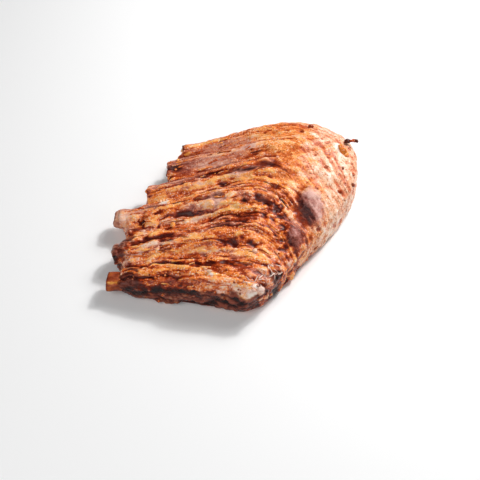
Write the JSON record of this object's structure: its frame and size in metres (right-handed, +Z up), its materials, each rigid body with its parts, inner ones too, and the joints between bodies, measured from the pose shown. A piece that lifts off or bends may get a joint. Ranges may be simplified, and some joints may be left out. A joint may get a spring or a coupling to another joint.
{
  "type": "rack of ribs",
  "caption": "Rack of roasted pork ribs, a ridged and domed slab of browned meat with the cut ends of rib bones at its torn left edge.",
  "frame": {"origin": "bottom centre of the whole rack's box, on the surface that it lies on", "axes": "+Z up, +X along the rib bones from their cut ends towards the thick domed edge, +Y from the front edge to the back edge"},
  "size_m": [0.188, 0.169, 0.0436],
  "materials": {
    "meat": "glossy roasted crust",
    "bone": "browned bone"
  },
  "bodies": {
    "root": {"meat": "meat", "rib_bone_1": "bone", "rib_bone_2": "bone", "rib_bone_3": "bone", "rib_bone_4": "bone", "rib_bone_5": "bone", "rib_bone_6": "bone"}
  },
  "joints": []
}
